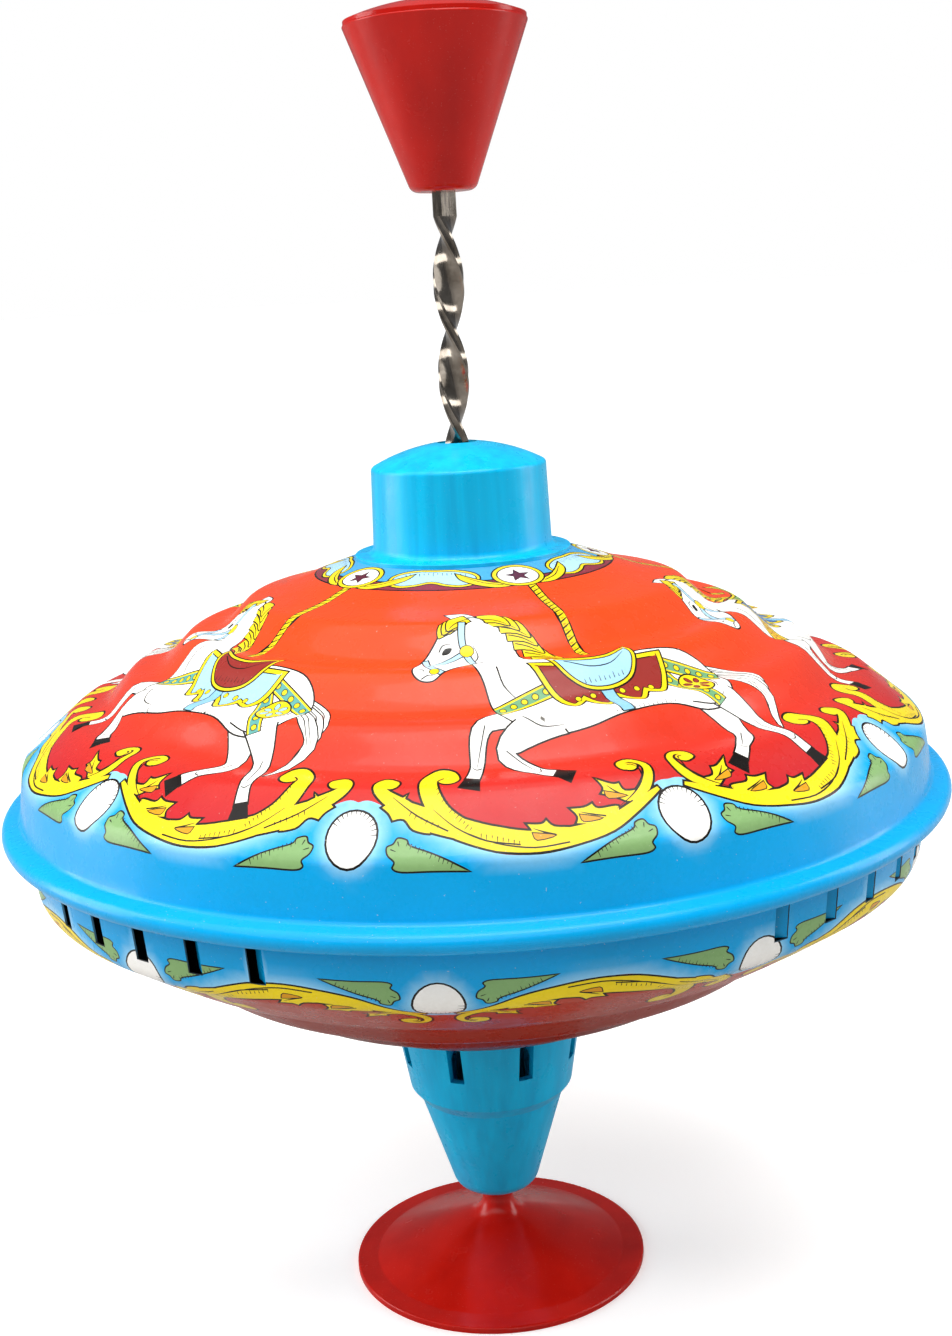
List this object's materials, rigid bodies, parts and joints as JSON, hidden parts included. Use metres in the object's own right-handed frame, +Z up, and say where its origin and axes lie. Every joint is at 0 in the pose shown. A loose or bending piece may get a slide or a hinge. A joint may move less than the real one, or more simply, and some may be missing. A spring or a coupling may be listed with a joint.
{
  "type": "spinning top",
  "caption": "Tin humming top: two ribbed printed shells rolled together at the rim, a pump handle on a twisted steel strip, and a round plastic foot.",
  "frame": {"origin": "on the surface it stands on, under the middle of the foot", "axes": "+Z up along the axis of spin"},
  "size_m": [0.1832, 0.1832, 0.2506],
  "materials": {
    "red_plastic": "moulded, glossy red",
    "blue_plastic": "moulded, satin sky blue",
    "printed_tin": "printed and varnished tinplate, red field with a sky-blue border",
    "bright_steel": "bright nickelled",
    "white_plastic": "natural acetal",
    "reed_brass": "rolled",
    "felt": "pressed felt"
  },
  "bodies": {
    "foot": {"foot": "red_plastic", "pivot_pin": "bright_steel", "foot_clip": "bright_steel"},
    "top_body": {"pivot_bush": "white_plastic", "thrust_cup": "bright_steel", "tube_plug": "white_plastic", "centre_tube": "bright_steel", "hub_cone": "blue_plastic", "hub_collar": "blue_plastic", "hub_ring": "bright_steel", "lower_shell": "printed_tin", "upper_shell": "printed_tin", "neck_cap": "blue_plastic", "neck_ring": "bright_steel", "ratchet_ring": "white_plastic", "nut_retainer": "white_plastic", "rod_bush": "white_plastic", "reed_plate": "white_plastic", "reed_rivets": "reed_brass", "reed_gasket": "felt", "reed_1": "reed_brass", "reed_2": "reed_brass", "reed_3": "reed_brass", "reed_4": "reed_brass", "reed_5": "reed_brass", "reed_6": "reed_brass"},
    "drive_nut": {"drive_nut": "white_plastic"},
    "handle": {"handle_knob": "red_plastic", "handle_lid": "red_plastic", "handle_pin": "bright_steel", "spiral_rod": "bright_steel", "rod_stop": "bright_steel"}
  },
  "joints": [
    {"name": "body_spin", "type": "hinge", "parent": "foot", "child": "top_body", "pos_m": [0, 0, 0.024], "axis": [0, 0, 1], "continuous": true},
    {"name": "handle_pump", "type": "slide", "parent": "foot", "child": "handle", "axis": [0, 0, 1], "range_m": [-0.0455, 0]},
    {"name": "nut_spin", "type": "hinge", "parent": "foot", "child": "drive_nut", "pos_m": [0, 0, 0.157], "axis": [0, 0, 1], "range_deg": [-470, 2]}
  ],
  "couplings": [
    {"joint": "nut_spin", "follows": "handle_pump", "rad_per_m": 179.52}
  ]
}
